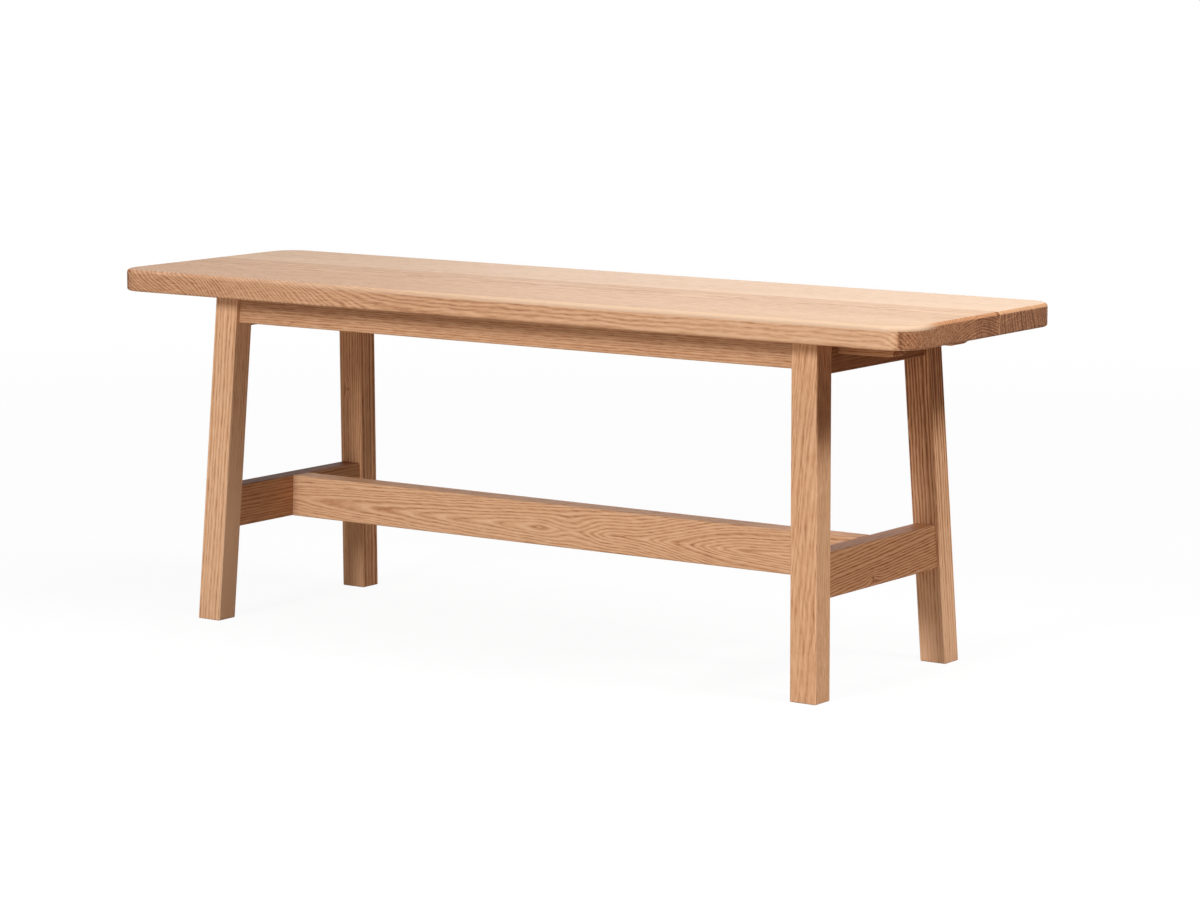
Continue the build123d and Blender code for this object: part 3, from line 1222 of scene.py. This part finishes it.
@dataclass
class SeatSlab:
    """The seat: three staves glued edge to edge."""

    # The slab's tops take a paler painted sheen.
    finish: OakFinish = OakFinish(sheen_level=0.5, painted_top_sheen=(1.0, 1.07, 1.09))
    # Painted light: each stave lighter towards the right end, where the light is stronger.
    front: Growth = Growth(
        2.3, (-0.095, -0.045), ring=0.0034, ripple=0.0050, run_out=(-0.08, 0.36, 0.45),
        # Its front crest carries a painted highlight.
        tone=-0.055, fade=0.20, figure=0.82, end_figure=0.1, painted_crest_highlight=(-0.50, 0.15, 0.85),
        knots=(Knot(-0.530, -0.058, 0.002, 0.009, 0.0),),
    )
    middle: Growth = Growth(
        5.1, (0.01, -0.11), (0.012, 0.0), tone=-0.06, fade=0.12, figure=0.8,
        glued=(1,), dark_end=(0.007, 0.055),
    )
    rear: Growth = Growth(
        8.7, (0.11, 0.03), ring=0.0060, ripple=0.0070, tone=0.12, fade=0.2, figure=0.8,
        # Its stain, paler in green and blue, is partly painted sheen.
        stain_and_painted_shading=(1.0, 1.05, 1.12), glued=(-1,), dark_end=(-0.09, 0.09), end_figure=1.5,
    )

    def pieces(self) -> list[Board]:
        """The three staves, front to rear.

        Returns:
            The pieces.
        """
        growths = {"front": self.front, "middle": self.middle, "rear": self.rear}
        return [
            Board(f"seat_stave_{name}", Along.X, growth, Slot.SEAT, 0.0, self.finish)
            for name, growth in growths.items()
        ]


@dataclass
class EndFrames:
    """The two end frames: legs, end aprons and end stretchers."""

    pale: Triple = (1.08, 1.11, 1.14)
    tan: Triple = (1.09, 1.08, 1.09)
    # Painted shade, partly a browner wood: the left end stretcher under the slab.
    brown_wood_and_painted_shade: Triple = (0.98, 0.90, 0.83)
    # Painted light on a brown leg that stands in shadow.
    brown_wood_and_painted_light: Triple = (1.05, 0.97, 0.90)
    # Painted shade, partly a browner wood: the right end stretcher under the slab's overhang.
    dark: Triple = (0.72, 0.62, 0.54)
    # Painted deep shade, partly a darker wood: the end aprons under the slab.
    dark_wood_and_painted_shade: Triple = (0.40, 0.28, 0.20)
    throughout: Pair = (-1.0, -0.9)
    leg_knot: Knot = Knot(0.062, -0.004, -0.016, 0.0022)
    arris_knot: Knot = Knot(0.079, -0.019, -0.014, 0.0022)
    stretcher_knot: Knot = Knot(-0.024, 0.014, -0.017, 0.0022)

    def pieces(self) -> list[Board]:
        """The legs, then the rails between them.

        Returns:
            The pieces.
        """
        legs = {
            "front_left": Growth(
                # Painted light: lighter towards the foot, and more so on the right face.
                11.2, (0.05, 0.06), tone=0.06, fade=-0.2, stain_and_painted_shading=self.pale,
                painted_shading=(PaintedShading(Looks.RIGHT, 0.13, -0.17, -0.55),),
            ),
            "front_right": Growth(
                14.9, (0.05, 0.07), (0.11, 0.0), ripple=0.003, figure=0.5, stain_and_painted_shading=self.pale,
                # Painted shade: the right face darker at its top, under the slab's overhang.
                painted_shading=(PaintedShading(Looks.RIGHT, 0.06, 0.13, 0.42),),
            ),
            "rear_left": Growth(
                # Painted light: lighter towards the foot.
                17.3, (0.08, 0.05), tone=0.08, fade=-0.6, figure=2.0, stain_and_painted_shading=self.brown_wood_and_painted_light,
                knots=(self.leg_knot,),
                # Painted light on the front towards the foot; painted shade on the lower right
                # face.
                painted_shading=(
                    PaintedShading(Looks.FRONT, -0.02, -0.14, -0.20),
                    PaintedShading(Looks.RIGHT, -0.06, -0.16, 0.12),
                ),
            ),
            "rear_right": Growth(
                # Painted shade and light: much darker at the top, lighter towards the foot.
                21.8, (-0.07, 0.06), fade=-1.4, figure=1.4, stain_and_painted_shading=self.tan,
                knots=(self.arris_knot,),
                # Painted shade on the right face's top and on the front above the foot; painted
                # light on the front at the foot.
                painted_shading=(
                    PaintedShading(Looks.RIGHT, 0.06, 0.14, 0.30),
                    PaintedShading(Looks.FRONT, -0.14, -0.08, 0.10),
                    PaintedShading(Looks.FRONT, -0.13, -0.17, -0.10),
                ),
            ),
        }
        rails = {
            # The end aprons carry painted deep shade.
            "apron_left": Growth(24.1, (0.05, 0.06), stain_and_painted_shading=self.dark_wood_and_painted_shade),
            "apron_right": Growth(27.4, (0.05, 0.06), stain_and_painted_shading=self.dark_wood_and_painted_shade),
            "end_stretcher_left": Growth(
                31.9, (-0.06, 0.08), tone=0.02, stain_and_painted_shading=self.brown_wood_and_painted_shade,
                # Painted shade: the whole top face darker.
                painted_shading=(PaintedShading(Looks.UP, *self.throughout, 0.50),),
            ),
            "end_stretcher_right": Growth(
                34.2, (-0.06, 0.08), (0.0, 0.1), figure=1.6, stain_and_painted_shading=self.dark,
                knots=(self.stretcher_knot,),
                # Painted shade: the whole top face darker.
                painted_shading=(PaintedShading(Looks.UP, *self.throughout, 0.20),),
            ),
        }
        made = [Board(f"leg_{name}", Along.Z, growth) for name, growth in legs.items()]
        return made + [Board(name, Along.Y, growth) for name, growth in rails.items()]


@dataclass
class LongRails:
    """The rails along the bench: two aprons and the centre stretcher."""

    shaded: Growth = Growth(
        # Painted light: slightly lighter towards the right end.
        38.5, (0.02, 0.10), tone=-0.12, fade=0.06, figure=0.6, stain_and_painted_shading=(0.99, 1.03, 1.08)
    )
    plain: Growth = Growth(41.7, (-0.02, 0.10))
    cathedral: Growth = Growth(
        44.6, (-0.019, -0.003), ring=0.0036, sway=0.012, ripple=0.0034, taper=-0.05,
        tone=0.03, step=(0.27, 0.11, 0.018), stain_and_painted_shading=(1.10, 1.12, 1.14),
        knots=(Knot(0.022, -0.019, -0.002, 0.0060, 0.0),),
        # Painted shade: the top face darker towards the right end.
        painted_shading=(PaintedShading(Looks.UP, 0.36, 0.44, 0.22),),
    )

    def pieces(self) -> list[Board]:
        """The aprons, then the stretcher.

        Returns:
            The pieces.
        """
        return [
            Board("apron_front", Along.X, self.shaded),
            Board("apron_rear", Along.X, self.plain),
            Board("centre_stretcher", Along.X, self.cathedral),
        ]


@dataclass
class SeatFixings:
    """What holds the slab down: bearers, buttons and their screws."""

    buttons: int = 3
    bearer_screws: int = 5
    # Painted shade: the bearers darkened for the shade under the slab.
    stain_and_painted_shading: Triple = (0.80, 0.71, 0.64)
    bearer_seeds: Pair = (51.3, 2.9)
    button_seeds: Triple = (60.1, 3.3, 12.7)

    def pieces(self) -> list[Board | ScrewRows]:
        """The bearers and the buttons of each row, then the screws.

        Returns:
            The pieces.
        """
        made: list[Board | ScrewRows] = []
        seed, by_row = self.bearer_seeds
        button_seed, by_number, by_side = self.button_seeds
        for place, row in enumerate(("front", "rear")):
            growth = Growth(seed + place * by_row, (0.03, 0.08), stain_and_painted_shading=self.stain_and_painted_shading)
            made.append(Board(f"seat_bearer_{row}", Along.X, growth))
            for number in range(1, self.buttons + 1):
                apart = button_seed + number * by_number + place * by_side
                growth = Growth(apart, (0.04, 0.05))
                made.append(Board(f"seat_button_{row}_{number}", Along.Y, growth))
        made.append(ScrewRows("bearer_screws", self.bearer_screws))
        made.append(ScrewRows("button_screws", self.buttons))
        return made


def main() -> None:
    """Builds the studio and the bench."""
    logging.basicConfig(level=logging.INFO, format="%(name)s: %(message)s")
    Viewpoint().build()
    Studio().build()
    for assembly in (SeatSlab(), EndFrames(), LongRails(), SeatFixings()):
        for piece in assembly.pieces():
            piece.build()


if __name__ == "__main__":
    main()
